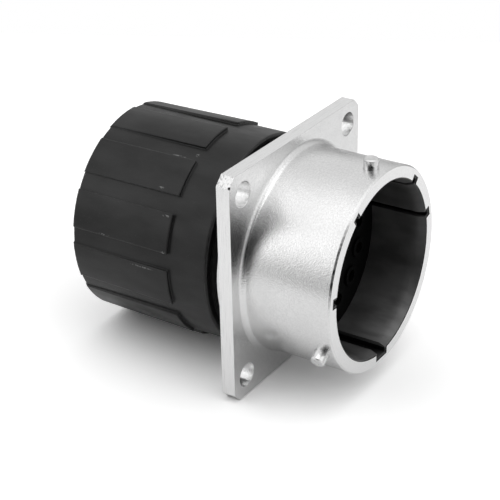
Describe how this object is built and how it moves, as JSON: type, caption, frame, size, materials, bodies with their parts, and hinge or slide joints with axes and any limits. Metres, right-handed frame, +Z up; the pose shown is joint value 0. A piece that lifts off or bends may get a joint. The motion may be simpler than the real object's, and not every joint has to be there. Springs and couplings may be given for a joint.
{
  "type": "square flange receptacle",
  "caption": "Square flange receptacle with a round bayonet barrel, keyed socket insert and screwed-on grip backshell.",
  "frame": {"origin": "centre of the flange's rear face", "axes": "+X out of the mating mouth along the barrel, +Z up through the top bayonet stud, +Y across the flange"},
  "size_m": [0.0532, 0.0428, 0.0428],
  "materials": {
    "shell": "satin plated",
    "stud": "satin",
    "insulator": "semi-gloss",
    "backshell": "matte",
    "seal": "matte",
    "spring_steel": "bright",
    "contact": "plated"
  },
  "bodies": {
    "receptacle": {"shell": "shell", "bayonet_stud_top": "stud", "bayonet_stud_left": "stud", "bayonet_stud_right": "stud", "front_insert": "insulator", "bore_lining": "insulator", "insert_lock_ring": "spring_steel", "wire_grommet": "seal", "shell_seal": "seal", "socket_contact_inner_01": "contact", "socket_contact_inner_02": "contact", "socket_contact_inner_03": "contact", "socket_contact_inner_04": "contact", "socket_contact_outer_01": "contact", "socket_contact_outer_02": "contact", "socket_contact_outer_03": "contact", "socket_contact_outer_04": "contact", "socket_contact_outer_05": "contact", "socket_contact_outer_06": "contact", "socket_contact_outer_07": "contact", "socket_contact_outer_08": "contact", "socket_contact_outer_09": "contact", "socket_contact_outer_10": "contact", "socket_contact_outer_11": "contact", "socket_contact_outer_12": "contact"},
    "follower": {"follower_ring": "backshell"},
    "backshell": {"backshell": "backshell"}
  },
  "joints": [
    {"name": "backshell_travel", "type": "slide", "parent": "receptacle", "child": "follower", "axis": [-1, 0, 0], "range_m": [0, 0.00847]},
    {"name": "backshell_turn", "type": "hinge", "parent": "follower", "child": "backshell", "pos_m": [0, 0, 0], "axis": [-1, 0, 0], "range_deg": [0, 2160]}
  ],
  "couplings": [
    {"joint": "backshell_travel", "follows": "backshell_turn", "m_per_rad": 0.00022457}
  ]
}
